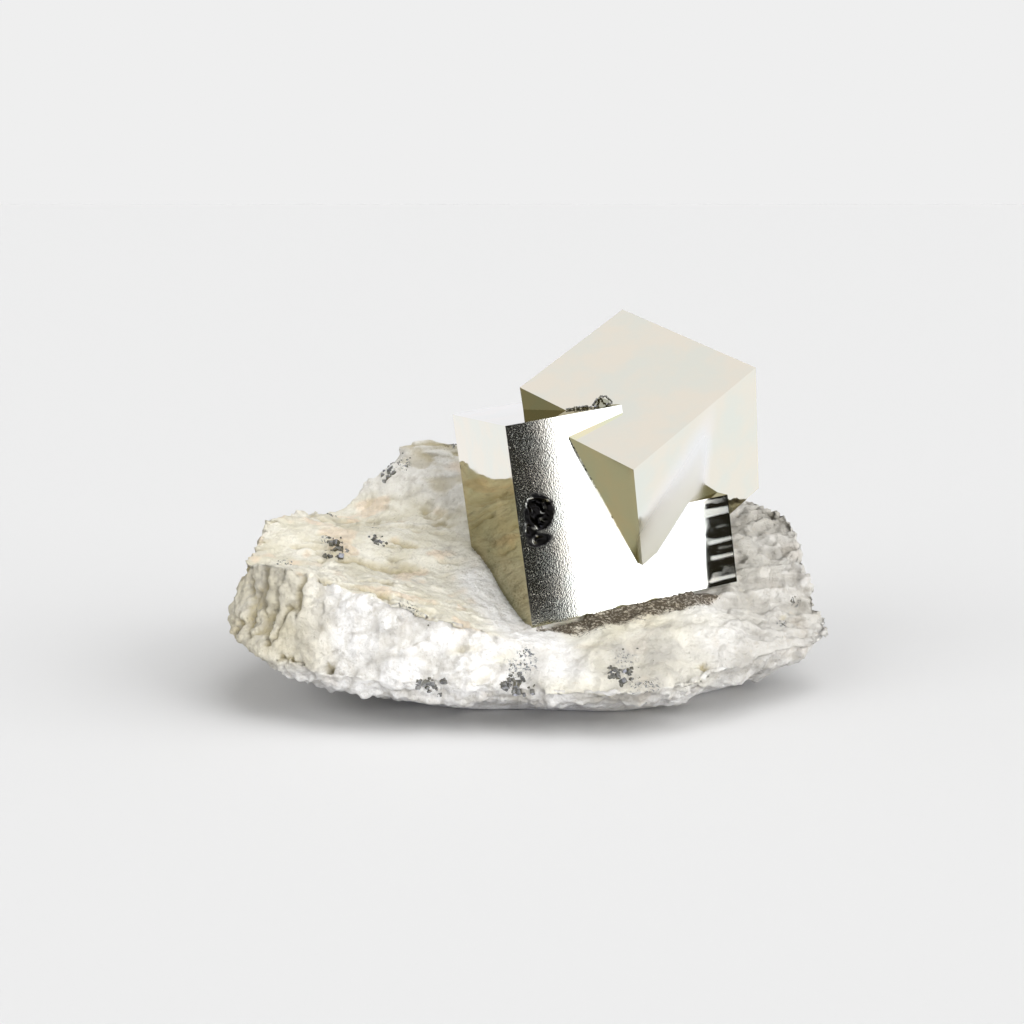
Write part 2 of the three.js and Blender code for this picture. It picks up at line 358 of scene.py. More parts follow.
def pyrite_material():
    """Bright pyrite with an etched zone, smudges, painted shade in the pit and a pale painted
    reflection.
    """
    n = Nodes("pyrite")
    cloud = n.span(n.noise(6.0, detail=5.0), 0.35, 0.65)
    colour = n.mix(cloud, (0.435, 0.385, 0.235), (0.405, 0.385, 0.245))
    # Painted shade: the pit and a ring round it are darkened almost to black.
    pit_shade = n.attribute("pit_shade")
    colour = n.mix(pit_shade, colour, (0.008, 0.007, 0.005))
    smudge = n.span(n.noise(2.6, detail=6.0, roughness=0.65), 0.45, 0.75, 0.03, 0.09)
    etched = n.attribute("etched")
    extra = n.math("MULTIPLY", etched, 0.10)
    speckle = n.math("ADD", n.noise(0.17, detail=3.0, roughness=0.7), extra)
    speckle = n.math("MULTIPLY", n.span(speckle, 0.56, 0.85), n.span(etched, 0.02, 0.3))
    rough = n.math("MAXIMUM", smudge, n.math("MULTIPLY", speckle, 0.34))
    rough = n.math("MAXIMUM", rough, n.math("MULTIPLY", etched, 0.10))
    rough = n.math("MAXIMUM", rough, n.math("MULTIPLY", pit_shade, 0.25))
    rough = n.math("MAXIMUM", rough, n.math("MULTIPLY", n.attribute("frost"), 0.6))
    grain_height = n.math("MULTIPLY", n.cell(0.22), etched)
    relief = n.bump(grain_height, 0.0035)
    n.shader.inputs["Specular Tint"].default_value = (0.82, 0.79, 0.70, 1.0)
    # Painted reflection: a pale, less metallic colour stands in for a brighter reflection low on the
    # upper crystal's right face.
    painted_reflection = n.attribute("painted_reflection")
    colour = n.mix(painted_reflection, colour, (0.56, 0.54, 0.46))
    metal = n.span(painted_reflection, 0.0, 1.0, 1.0, 0.25)
    n.set(n.shader, Base_Color=colour, Normal=relief, Roughness=rough, Metallic=metal)
    return n.material


def grain_material():
    """Duller pyrite of the small grains."""
    n = Nodes("grain")
    colour = n.mix(n.span(n.noise(0.5), 0.3, 0.7), (0.10, 0.095, 0.07), (0.22, 0.205, 0.14))
    rough = n.span(n.noise(0.8), 0.3, 0.7, 0.25, 0.5)
    n.set(n.shader, Base_Color=colour, Roughness=rough, Metallic=0.85)
    return n.material


# ------------------------------------------------------------------ the rock

ROCK_VOXEL_MM = 0.37

# Hollows in the rock: centre, radius and depth.
CAVITIES = [
    ((-28.2, -14.4, 8.0), 1.3, 1.6),
    ((-22.7, -17.0, 8.0), 0.8, 1.6),
    ((-22.2, -17.2, 5.8), 0.8, 1.2),
    ((38.2, 1.2, 9.6), 1.3, 0.7),
    ((36.6, 2.2, 10.4), 0.9, 0.7),
    ((24.0, -14.0, 8.0), 1.2, 1.0),
]

# Places where the rock stands further out: centre, radius and how far.
SWELLINGS = [
    ((-16.5, 27.5, 25.5), 9.0, 2.2),
]

# Greyer places in the rock: centre, radius and how grey.
GREY_PATCHES = [
    ((15.0, -17.0, 7.5), 10.0, 1.0),
    ((3.0, -17.5, 6.5), 6.0, 0.7),
    ((25.5, -13.0, 9.0), 7.0, 0.7),
]

# Patches of fine dark grains in the rock: centre, radius and how thickly they lie.
SPECK_PATCHES = [
    ((-16.0, 29.0, 25.1), 2.2, 0.9),
    ((-24.6, 7.8, 18.4), 1.4, 0.8),
    ((-25.6, 21.5, 20.0), 1.3, 0.6),
    ((-19.4, 14.6, 18.7), 0.9, 0.8),
    ((-8.4, 30.5, 27.6), 0.9, 0.7),
    ((-12.0, -14.2, 15.0), 2.0, 0.5),
    ((1.2, -16.4, 9.0), 2.6, 0.7),
    ((13.9, -14.8, 8.6), 2.6, 0.5),
    ((16.2, -18.9, 6.5), 2.2, 0.5),
    ((35.9, -0.3, 9.2), 1.1, 0.9),
    ((38.0, 3.8, 11.0), 0.8, 0.9),
    ((-29.9, 1.7, 17.1), 1.0, 0.5),
]

# The CAD grains that clusters of small cubes stand for.
GRAIN_NODES = [
    "pyrite_grain_hump",
    "pyrite_grain_plateau_left",
    "pyrite_grain_plateau_mid",
    "pyrite_grain_front_left",
    "pyrite_grain_front_mid",
    "pyrite_grain_front_right",
]

# Clear gap that the CAD rock leaves round each grain, and a little more.
SOCKET_GAP = 0.5
PLUG_OVERLAP = 1.8
LEVEL_PASSES = 250

# Spacing of the beds and how far they lean, their height, and depth of the furrows,
# pits, streaks and hollows.
BED_SPACING_MM = 2.9
BED_LEAN = 1.6
BED_MM = 0.55
FURROW_MM = 0.75
PIT_MM = 0.8
STREAK_MM = 0.7
HOLLOW_MM = 0.9

# Rock nearer the crystals than this is drawn on to them and a little way into them.
CLOSING_REACH_MM = 0.5
CLOSING_DEPTH_MM = 0.25


def plug_sockets(rock):
    """Fills the holes that the CAD rock has round its grains."""
    bm = bmesh.new()
    bm.from_mesh(rock.data)
    for node in GRAIN_NODES:
        start = len(bm.verts)
        bm.from_mesh(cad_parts[node].data)
        bm.verts.ensure_lookup_table()
        plug = bm.verts[start:]
        middle = sum((v.co for v in plug), Vector()) / len(plug)
        for vert in plug:
            reach = vert.co - middle
            vert.co = middle + reach * (1.0 + SOCKET_GAP * MM / reach.length * PLUG_OVERLAP)
    bm.to_mesh(rock.data)
    bm.free()


def level_plugs(rock):
    """Draws the rock taut over each plug, as a skin stretched between its edges."""
    mesh = rock.data
    points = to_layout(vertex_array(mesh))
    ends = np.zeros(len(mesh.edges) * 2, int)
    mesh.edges.foreach_get("vertices", ends)
    ends = ends.reshape(-1, 2)
    loose = np.zeros(len(points), bool)
    for node in GRAIN_NODES:
        low, high = (to_layout(corner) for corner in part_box(node))
        reach = 0.52 * np.linalg.norm(high - low) + SOCKET_GAP
        loose |= np.linalg.norm(points - (low + high) / 2, axis=1) < reach
    ends = ends[loose[ends].any(axis=1)]
    both = np.concatenate([ends, ends[:, ::-1]])
    count = np.maximum(np.bincount(both[:, 0], minlength=len(points)), 1)
    for _ in range(LEVEL_PASSES):
        total = np.stack([
            np.bincount(both[:, 0], weights=points[both[:, 1], axis], minlength=len(points))
            for axis in range(3)
        ], axis=1)
        points[loose] = (total / count[:, None])[loose]
    set_vertices(mesh, to_part(points))


def remeshed_rock():
    """The CAD rock without its sockets, as an even fine mesh."""
    rock = new_object("marl_rock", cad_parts["matrix"].data.copy())
    plug_sockets(rock)
    remesh = rock.modifiers.new("even_mesh", "REMESH")
    remesh.mode = "VOXEL"
    remesh.voxel_size = ROCK_VOXEL_MM * MM
    remesh.use_smooth_shade = True
    applied(rock)
    level_plugs(rock)
    return rock


def rock_regions(points, normals):
    """How strongly each vertex belongs to each part of the rock, from 0 to 1."""
    x, y, z = points.T
    top = smoothstep(0.5, 0.8, normals[:, 2])
    local = along_axes(points, LOWER, LOWER_AXES)
    left_gap = LOWER_CORNER[0] - local[:, 0]
    widening = 0.35 * np.maximum(y - 2.0, 0.0)
    collar = smoothstep(7.5, 3.5, left_gap + widening) * smoothstep(-5.0, -1.0, left_gap)
    return {
        "top": top,
        "plateau": top * smoothstep(3.0, -3.0, x) * (1.0 - collar),
        "left_end": smoothstep(-25.0, -32.0, x + 0.3 * y) * (1.0 - top) * smoothstep(5.0, 9.0, z),
        "side": 1.0 - top,
        "right": smoothstep(24.0, 31.0, x),
        "collar": collar * smoothstep(10.0, 3.0, y) * smoothstep(6.0, 8.0, z),
        "hump": smoothstep(17.0, 22.0, y) * smoothstep(19.0, 22.0, z),
        "foot": 1.0 - smoothstep(0.05, 2.0, z),
    }


def spots(points, places, ragged=0.5):
    """Strongest share of any listed round place, from 0 outside to 1 at its centre."""
    total = np.zeros(len(points))
    for centre, radius, strength in places:
        away = np.linalg.norm(points - np.array(centre), axis=1)
        away += ragged * radius * fractal(points, radius, 57, 2)
        total = np.maximum(total, strength * smoothstep(radius, radius * 0.25, away))
    return total


def stretched(points, across, back, up):
    """Points scaled so that the noise read at them is drawn out or squeezed."""
    return points * (1.0 / across, 1.0 / back, 1.0 / up)


def ridged(points, size, seed, octaves=3):
    """Noise with sharp creases, from 0 in a crease to 1 between them."""
    total = np.zeros(len(points))
    strength, reach = 1.0, 0.0
    for octave in range(octaves):
        swell = np.abs(noise3(points, size / 2**octave, seed + octave))
        total += strength * np.minimum(swell * 3.0, 1.0)
        reach += strength
        strength *= 0.6
    return total / reach


def coarse_relief(points, region):
    """Large lumps, nodules, beds, furrows and hollows of the rock, in millimetres."""
    lumps = 0.55 * fractal(points, 8.0, 11, 3) - 0.2
    warped = points + 0.9 * noise3(points, 3.0, 21)[:, None]
    near, second = cells(warped, 5.0, 23)
    knob_strength = (1.0 * region["side"] + 0.25) * (1.0 - 0.8 * region["left_end"])
    lumps += knob_strength * (0.42 - near)

    warp = 2.6 * fractal(stretched(points, 2.4, 1.0, 1.0), 5.0, 31, 3)
    phase = (points[:, 1] + BED_LEAN * points[:, 2] + warp) / BED_SPACING_MM
    bed = 1.0 - (phase - np.floor(phase))
    bed_strength = smoothstep(-0.35, 0.45, noise3(points, 6.0, 37))
    flat_top = np.maximum(region["plateau"], region["right"] * region["top"])
    beds = BED_MM * (bed - 0.5) * bed_strength * flat_top

    furrow = 1.0 - ridged(stretched(points, 1.0, 1.0, 4.0), 2.3, 41, 2)
    furrow = smoothstep(0.3, 0.7, furrow) * region["left_end"]
    pit_noise = fractal(stretched(points, 2.6, 0.9, 0.9), 2.0, 47, 3)
    pit = smoothstep(0.24, 0.6, pit_noise) * region["plateau"]
    streak_noise = fractal(stretched(points, 3.0, 1.0, 0.6), 1.7, 53, 3)
    streak = smoothstep(0.0, 0.4, streak_noise) * region["right"] * smoothstep(8.0, 11.0, points[:, 2])
    hollow = spots(points, CAVITIES)

    lumps += spots(points, SWELLINGS, 0.0)
    height = lumps + beds - FURROW_MM * furrow - PIT_MM * pit - STREAK_MM * streak - HOLLOW_MM * hollow
    masks = {
        "pit": np.maximum.reduce([
            0.9 * furrow,
            0.3 * region["left_end"],
            0.8 * pit,
            0.9 * smoothstep(0.4, 0.8, hollow),
        ]),
        "streak": streak,
        # Painted shade for the grooves between the knobs.
        "crease_shade": smoothstep(0.14, 0.0, second - near) * knob_strength * 0.8,
        "bed": smoothstep(0.30, 0.0, bed) * bed_strength * flat_top,
    }
    return height * (1.0 - 0.75 * region["collar"]) * (1.0 - 0.5 * region["hump"]), masks


def fine_relief(points, region):
    """Small nodules, cracks and grit, in millimetres, and how strongly painted shade darkens each
    crease.
    """
    warped = points + 0.35 * noise3(points, 1.2, 63)[:, None]
    near, second = cells(warped, 2.0, 67)
    tiny, tiny_second = cells(warped, 1.0, 71)
    broken = 1.0 - ridged(points, 3.0, 75, 3)
    side = region["side"]
    strength = 0.35 + 0.65 * side
    height = 0.30 * fractal(points, 1.2, 61, 3)
    height += (0.4 * side + 0.3) * (0.45 - near) + (0.2 * side + 0.25) * (0.45 - tiny)
    height -= 0.35 * smoothstep(0.55, 0.9, broken) * strength
    # Painted shade: how strongly each crease and crack is darkened in the colour.
    crease_shade = 0.7 * smoothstep(0.55, 0.85, broken)
    crease_shade = np.maximum(crease_shade, 0.55 * side * smoothstep(0.16, 0.0, second - near))
    crease_shade = np.maximum(crease_shade, 0.3 * smoothstep(0.14, 0.0, tiny_second - tiny))
    patchy = smoothstep(-0.25, 0.4, noise3(points, 4.0, 79))
    height *= (1.0 - 0.2 * region["collar"]) * (1.0 - 0.5 * region["hump"])
    return height, crease_shade * patchy * (1.0 - 0.6 * region["collar"])


def crust_and_shade_amount(points, away):
    """Brown crust and dark dusting on the rock just below the front edge of the lower crystal, with
    painted shade darkest against the crystal.
    """
    local = along_axes(points, LOWER, LOWER_AXES)
    below = LOWER_CORNER[2] - local[:, 2]
    in_front = LOWER_CORNER[1] - local[:, 1]
    patchy = 0.5 + 0.5 * fractal(points, 1.2, 83, 3)
    reach = 4.6 * smoothstep(-15.5, -9.0, local[:, 0]) * smoothstep(15.5, 6.0, local[:, 0])
    # Darkest against the crystal: painted shade under its edge.
    near = smoothstep(reach + 0.3, 0.35 * reach, away)
    front = smoothstep(-1.0, 0.2, in_front) * smoothstep(-3.0, -1.5, below)
    return np.clip(1.25 * near * front * (0.35 + 1.2 * patchy), 0.0, 0.95)


def close_on_crystals(points):
    """Draws the nearest rock on to the crystals, which hide the last of it."""
    away, contact = box_contact(points)
    reach = np.where(away < 1e-6, 1.0, away)[:, None]
    inward = (contact - points) / reach
    close = (away > 1e-6) & (away < CLOSING_REACH_MM)
    points[close] = (contact + CLOSING_DEPTH_MM * inward)[close]
    return away


def store_rock_colours(mesh, start, region, masks, crease_shade, away):
    """Keeps how white, grey, peach, pitted, dusted and speckled the rock is, and its painted shade in
    creases and below the lower crystal.
    """
    x, y, _ = start.T
    patchy = fractal(start, 3.5, 91, 3)
    chalk = region["side"] * (1.0 - region["left_end"])
    chalk = chalk * smoothstep(-37.0, -26.0, x) * smoothstep(20.0, 12.0, y)
    chalk = np.maximum.reduce([chalk, region["collar"], 0.6 * region["hump"]])
    chalk = np.maximum(chalk, smoothstep(18.0, 26.0, x) * 0.8)
    chalk *= 1.0 - 0.5 * smoothstep(0.2, 0.8, fractal(start, 7.0, 95, 2))
    front = smoothstep(16.0, 10.0, y)
    grey = smoothstep(0.1, 0.7, patchy) * 0.25 * region["side"] * front
    grey += 0.7 * masks["streak"] + 0.55 * region["right"] + 0.3 * masks["bed"] * region["right"]
    grey += spots(start, GREY_PATCHES) * (0.5 + 0.5 * patchy)
    orange = smoothstep(0.4, 0.75, fractal(start, 3.2, 97, 2))
    pit = np.maximum(masks["pit"], 0.55 * masks["bed"] * region["plateau"])
    crease_shade = np.maximum(0.6 * masks["crease_shade"], crease_shade)
    store(mesh, "pit", np.clip(pit, 0.0, 0.9))
    store(mesh, "crease_shade", np.clip(crease_shade, 0.0, 0.75))
    store(mesh, "chalk", np.clip(chalk, 0.0, 1.0))
    store(mesh, "grey", np.clip(grey, 0.0, 0.85))
    store(mesh, "peach", orange * (region["plateau"] * 0.45 + 0.10))
    # Crust and dust below the lower crystal, partly painted shade.
    store(mesh, "crust", crust_and_shade_amount(start, away))
    store(mesh, "speck", smoothstep(0.05, 0.5, spots(start, SPECK_PATCHES)))


def sculpt_rock():
    """Gives the rock its relief, its colours and its places in the frame."""
    rock = remeshed_rock()
    mesh = rock.data
    start = to_layout(vertex_array(mesh))
    normals = vertex_array(mesh, "normal")
    region = rock_regions(start, normals)
    away = box_contact(start)[0]
    free = smoothstep(0.25, 3.0, away) * (1.0 - region["foot"])
    height, masks = coarse_relief(start, region)
    points = start + normals * (height * free)[:, None]
    set_vertices(mesh, to_part(points))

    normals = vertex_array(mesh, "normal")
    free = smoothstep(0.25, 1.2, away) * (1.0 - region["foot"])
    fine, crease_shade = fine_relief(start, region)
    points += normals * (fine * free)[:, None]
    away = close_on_crystals(points)
    points[:, 2] = np.maximum(points[:, 2], 0.0)
    set_vertices(mesh, to_part(points))

    store_rock_colours(mesh, start, region, masks, crease_shade, away)
    mesh.materials.clear()
    mesh.materials.append(marl_material())
    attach(rock, "root")
    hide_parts("matrix")
    return rock


# ------------------------------------------------------------------ the crystals

FRONT_GRID_MM = 0.25
FACE_GRID_MM = 0.9

# Smaller faces, and faces not square to a crystal, stay as they are in the CAD part.
LARGE_FACE_MM2 = 20.0
SQUARE_ENOUGH = 0.999

# Swell of every large face, and the etched zone and striated end of the front face.
FACE_SWELL_MM = 0.006
ETCH_FADE = (10.4, 4.4)
STRIATED_LENGTH = 4.1

# Dullness of the face beside the growth step, and strength of the pale painted reflection on the upper
# crystal's right face.
STEP_FROST = 0.25
PAINTED_REFLECTION_SHARE = 0.65

# Pale lines between the dark ones at the right-hand end: distance down and half width.
STRIAE = [(16.3, 0.65), (19.9, 0.35), (22.2, 0.42), (25.0, 0.35)]

PITS = [
    ((3.0, 11.4), 1.4, 2.0, 1.0),
    ((1.5, 13.4), 0.4, 0.6, 0.5),
    ((2.6, 15.0), 0.7, 0.35, 0.4),
]


def flat_groups(bm):
    """Faces gathered by the plane that they lie in."""
    groups = {}
    for face in bm.faces:
        normal = face.normal
        offset = normal.dot(face.verts[0].co)
        key = (*(round(part, 2) for part in normal), round(offset / MM, 1))
        groups.setdefault(key, []).append(face)
    return groups


def slice_plane(bm, faces, origin, direction, low, high, spacing):
    """Cuts the faces by evenly spaced planes across a direction."""
    layer = bm.faces.layers.int["group"]
    tag = faces[0][layer]
    place = low + spacing
    while place < high - 0.25 * spacing:
        members = [face for face in bm.faces if face[layer] == tag]
        geometry = list({e for f in members for e in f.edges}) + members
        geometry += list({v for f in members for v in f.verts})
        point = origin + direction * place
        bmesh.ops.bisect_plane(bm, geom=geometry, dist=1e-7, plane_co=point, plane_no=direction)
        place += spacing


def gridded_crystals():
    """The CAD crystals with every large face cut into a fine grid."""
    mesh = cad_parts["pyrite_crystals"].data.copy()
    if "custom_normal" in mesh.attributes:
        mesh.attributes.remove(mesh.attributes["custom_normal"])
    bm = bmesh.new()
    bm.from_mesh(mesh)
    bmesh.ops.remove_doubles(bm, verts=bm.verts, dist=1e-6)
    bmesh.ops.dissolve_limit(bm, angle_limit=math.radians(0.5), verts=bm.verts, edges=bm.edges)
    layer = bm.faces.layers.int.new("group")
    bm.normal_update()
    planes = {}
    for number, (_, faces) in enumerate(sorted(flat_groups(bm).items()), start=1):
        for face in faces:
            face[layer] = number
        planes[number] = {"area": sum(face.calc_area() for face in faces) / MM**2}
    for number, plane in planes.items():
        members = [face for face in bm.faces if face[layer] == number]
        normal = np.array(members[0].normal)
        aligned = [np.abs(axes.T @ normal).max() for axes in (LOWER_AXES, UPPER_AXES)]
        owner = int(np.argmax(aligned))
        crystal, axes = ((LOWER, LOWER_AXES), (UPPER, UPPER_AXES))[owner]
        plane["owner"] = ("lower", "upper")[owner]
        plane["along"] = int(np.argmax(np.abs(axes.T @ normal)))
        plane["side"] = float(np.sign((axes.T @ normal)[plane["along"]]))
        if plane["area"] < LARGE_FACE_MM2 or max(aligned) < SQUARE_ENOUGH:
            plane["along"] = -1
            continue
        front = plane["owner"] == "lower" and plane["along"] == 1 and plane["side"] < 0
        spacing = FRONT_GRID_MM if front else FACE_GRID_MM
        origin = Vector(to_part(np.array(crystal["centre"])))
        for axis in range(3):
            if axis == plane["along"]:
                continue
            direction = Vector(axes[:, axis])
            members = [face for face in bm.faces if face[layer] == number]
            reach = [(v.co - origin).dot(direction) for f in members for v in f.verts]
            slice_plane(bm, members, origin, direction, min(reach), max(reach), spacing * MM)
    return mesh, bm, planes


def front_relief(local):
    """Relief of the lower crystal's front face: pit, step lines and striations, with the pit's painted
    shade and the dull lines.
    """
    across = local[:, 0] + LOWER["size"][0] / 2
    down = LOWER["size"][2] / 2 - local[:, 2]
    flat = np.stack([across, down, np.zeros(len(local))], axis=1)

    # One deep ragged pit with small ones beside it.
    height = np.zeros(len(local))
    pit_shade = np.zeros(len(local))
    ragged = 0.8 * fractal(flat, 1.9, 5, 4)
    facets = cells(flat, 0.9, 9)[0]
    for centre, width, tall, depth in PITS:
        reach = np.hypot((across - centre[0]) / width, (down - centre[1]) / tall) + 0.5 * ragged
        inside = smoothstep(1.0, 0.85, reach)
        height -= depth * inside * (0.55 + 0.9 * facets)
        beyond = (reach - 1.0) * min(width, tall)
        # Painted shade in the pit and a little way round it.
        pit_shade = np.maximum(pit_shade, smoothstep(0.75, 0.45, beyond))

    # Small spots are left out of the painted pit shade, where the bare metal glints.
    pit_shade *= 1.0 - 0.7 * smoothstep(0.45, 0.8, noise3(flat, 0.45, 25))

    # Striations: near-level lines at the right-hand end, with a ragged start.
    past_start = across - (LOWER["size"][0] - STRIATED_LENGTH)
    end_band = smoothstep(0.0, 0.8, past_start + 0.5 * noise3(flat, 0.8, 19))
    drawn_out = stretched(flat, 5.0, 1.0, 1.0)
    lines = fractal(drawn_out, 0.7, 15, 3)
    height += 0.002 * end_band * lines
    dull = 0.22 * smoothstep(0.3, 0.8, lines)
    wander = down + 0.25 * noise3(drawn_out, 2.6, 17)
    for level, thickness in STRIAE:
        gap = smoothstep(thickness, 0.4 * thickness, np.abs(wander - level))
        dull = np.maximum(dull, 0.5 * gap)
    dull *= end_band
    return height, pit_shade, dull


def contact_frost(local):
    """Dull zone on the upper crystal's right face, where it runs into the lower one; a pale painted
    reflection follows it.
    """
    points = local @ UPPER_AXES.T + np.array(UPPER["centre"])
    low_local = along_axes(points, LOWER, LOWER_AXES)
    clear = LOWER_CORNER[1] - low_local[:, 1]
    return smoothstep(5.5, 1.2, clear) * smoothstep(13.0, 10.0, low_local[:, 0])


def plane_parts(bm, layer, number):
    """One plane's faces, the vertices inside it, and those with its edges."""
    members = [face for face in bm.faces if face[layer] == number]
    every = list({v for face in members for v in face.verts})
    inner = [v for v in every if all(face[layer] == number for face in v.link_faces)]
    return members, inner, every


def relieve_plane(plane, number, inner, every, masks):
    """Heights for the vertices inside one plane; fills in the masks on the way."""
    crystal, axes = (LOWER, LOWER_AXES) if plane["owner"] == "lower" else (UPPER, UPPER_AXES)
    local = along_axes(to_layout([v.co for v in inner]), crystal, axes)
    local_all = along_axes(to_layout([v.co for v in every]), crystal, axes)
    inner_at = [v.index for v in inner]
    every_at = [v.index for v in every]
    height = FACE_SWELL_MM * fractal(local, 9.0, 200 + number, 2)
    facing = (plane["owner"], plane["along"], plane["side"])
    if facing == ("lower", 1, -1.0):
        relief, dark, dull = front_relief(local)
        height += relief
        across = local_all[:, 0] - LOWER_CORNER[0]
        # Painted shade of the pit.
        masks["pit_shade"][inner_at] = dark
        masks["frost"][inner_at] = dull
        masks["etched"][every_at] = smoothstep(*ETCH_FADE, across)
    if facing == ("upper", 0, 1.0):
        dull = contact_frost(local_all)
        masks["frost"][every_at] = dull
        # Pale painted reflection over the dull zone.
        masks["painted_reflection"][every_at] = PAINTED_REFLECTION_SHARE * dull
    if facing == ("upper", 1, -1.0):
        masks["frost"][every_at] = STEP_FROST
    return height


def relieve_crystals():
    """Gives the crystals their fine relief and their etched and dull zones."""
    mesh, bm, planes = gridded_crystals()
    layer = bm.faces.layers.int["group"]
    bm.verts.ensure_lookup_table()
    bm.verts.index_update()
    masks = {name: np.zeros(len(bm.verts)) for name in ("etched", "pit_shade", "frost", "painted_reflection")}
    for number, plane in planes.items():
        if plane["along"] < 0:
            continue
        members, inner, every = plane_parts(bm, layer, number)
        if not inner:
            continue
        height = relieve_plane(plane, number, inner, every, masks)
        normal = members[0].normal.copy()
        for vert, rise in zip(inner, height):
            vert.co += normal * (rise * MM)
    for edge in bm.edges:
        groups = {face[layer] for face in edge.link_faces}
        edge.smooth = len(groups) == 1
    for face in bm.faces:
        face.smooth = True
    bmesh.ops.triangulate(bm, faces=[f for f in bm.faces if len(f.verts) > 4])
    bm.to_mesh(mesh)
    bm.free()
    for name, values in masks.items():
        store(mesh, name, values)
    mesh.materials.clear()
    mesh.materials.append(pyrite_material())
    crystals = new_object("pyrite_cubes", mesh)
    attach(crystals, "root")
    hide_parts("pyrite_crystals")


# ------------------------------------------------------------------ grains

# Thin dark crust where the crystals meet, and round the small satellite crystal.
CRUST_LINES = [
    [(7.0, 0.45, 37.35), (8.2, 0.3, 37.5), (9.2, 0.1, 37.7), (10.2, 0.0, 37.7)],
    [(10.2, -0.2, 37.8), (10.9, 0.1, 38.6), (11.4, 0.3, 39.0), (11.9, 0.3, 39.0), (12.9, 0.0, 38.3)],
    [(10.2, -0.4, 37.6), (11.6, -0.3, 37.9), (12.9, -0.1, 38.2)],
]


# Beads of crust: edge, spacing along the line and scatter across it.
BEAD_EDGE_MM = 0.2
BEAD_SPACING_MM = 0.14
BEAD_SCATTER_MM = 0.04

# Cubes in a cluster, their edge as a share of the CAD grain, and how far they spread;
# the same for a patch of specks. Cubes sink into the rock and have slightly worn edges.
CLUSTER_COUNT = 26
CLUSTER_EDGE = 0.14
CLUSTER_SPREAD = 1.1
SPECK_COUNT = 14
SPECK_EDGE_MM = 0.26
SPECK_SPREAD = 0.45
GRAIN_SINK = 0.3
WORN_EDGE_MM = 0.06


def add_cube(bm, centre, edge, rng):
    """A small cube, stretched a little and turned at random."""
    turn = Matrix.Rotation(rng.uniform(0, math.pi), 4, Vector(rng.normal(size=3)).normalized())
    stretch = Matrix.Diagonal((*rng.uniform(0.7, 1.3, size=3), 1.0))
    place = Matrix.Translation(centre) @ turn @ stretch
    bmesh.ops.create_cube(bm, size=edge, matrix=place)


def grain_cluster(name, surface, centre, spread, count, edge, rng, material):
    """Small cubes half sunk in the rock round a point on its surface."""
    bm = bmesh.new()
    for _ in range(count):
        aim = Vector(centre) + Vector(rng.normal(scale=spread * MM, size=3))
        place, normal, _, _ = surface.find_nearest(aim)
        size = edge * MM * rng.uniform(0.5, 1.0)
        add_cube(bm, place - normal * size * GRAIN_SINK, size, rng)
    mesh = bpy.data.meshes.new(name)
    bm.to_mesh(mesh)
    bm.free()
    mesh.materials.append(material)
    cluster = new_object(name, mesh)
    bevel = cluster.modifiers.new("worn_edges", "BEVEL")
    bevel.width = WORN_EDGE_MM * MM
    bevel.segments = 1
    applied(cluster)
    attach(cluster, "root")
    return cluster


def make_contact_crust(material):
    """Beads of crust strung along the lines."""
    rng = np.random.default_rng(19)
    bm = bmesh.new()
    for line in CRUST_LINES:
        for start, end in zip(line, line[1:]):
            start, end = np.array(start), np.array(end)
            count = int(np.linalg.norm(end - start) / BEAD_SPACING_MM)
            for step in range(count):
                scatter = rng.normal(scale=BEAD_SCATTER_MM, size=3)
                place = start + (end - start) * step / count + scatter
                edge = BEAD_EDGE_MM * MM * rng.uniform(0.6, 1.2)
                add_cube(bm, Vector(to_part(place)), edge, rng)
    mesh = bpy.data.meshes.new("contact_crust")
    bm.to_mesh(mesh)
    bm.free()
    mesh.materials.append(material)
    crust = new_object("contact_crust", mesh)
    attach(crust, "root")


def make_grains(rock):
    """The crust, a cluster for every CAD grain, and the patches of specks."""
    rng = np.random.default_rng(7)
    material = grain_material()
    make_contact_crust(material)
    surface = BVHTree.FromObject(rock, bpy.context.evaluated_depsgraph_get())
    for node in GRAIN_NODES:
        low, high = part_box(node)
        edge = (high - low).length / MM * CLUSTER_EDGE
        spread = edge * CLUSTER_SPREAD
        name = node.replace("pyrite_grain", "grain_cluster")
        middle = (low + high) / 2
        cluster = grain_cluster(name, surface, middle, spread, CLUSTER_COUNT, edge, rng, material)
        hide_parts(node)
    for number, (centre, radius, _) in enumerate(SPECK_PATCHES):
        name = f"speck_grains_{number:02d}"
        middle = to_part(centre)
        spread = radius * SPECK_SPREAD
        grain_cluster(name, surface, middle, spread, SPECK_COUNT, SPECK_EDGE_MM, rng, material)


# ------------------------------------------------------------------ studio

CAMERA_AT = (0.0, -205.0, 67.5)
CAMERA_PITCH = 12.0
LENS_MM = 56.79

BACKDROP = 0.863

# Diffuse light of the sky near the horizon and overhead, and where one becomes the other.
SKY_LOW = 0.06
SKY_HIGH = 0.85
SKY_TURN = (0.14, 0.40)

# The sky's light is this much straight ahead and overhead, and this much more sideways.
SKY_AHEAD = 0.42
SKY_SIDEWAYS = 0.8

# Soft lamps: direction the light travels in, strength, width in degrees, and whether
# it also lights the table.
LAMPS = {
    "overhead": ((-0.30, 0.05, -1.0), 1.05, 50.0, True),
    "right": ((-0.90, 0.25, -0.42), 1.50, 50.0, True),
    "front": ((-0.40, 0.90, -0.30), 2.90, 25.0, False),
    "left": ((0.78, 0.50, -0.45), 0.90, 50.0, True),
}

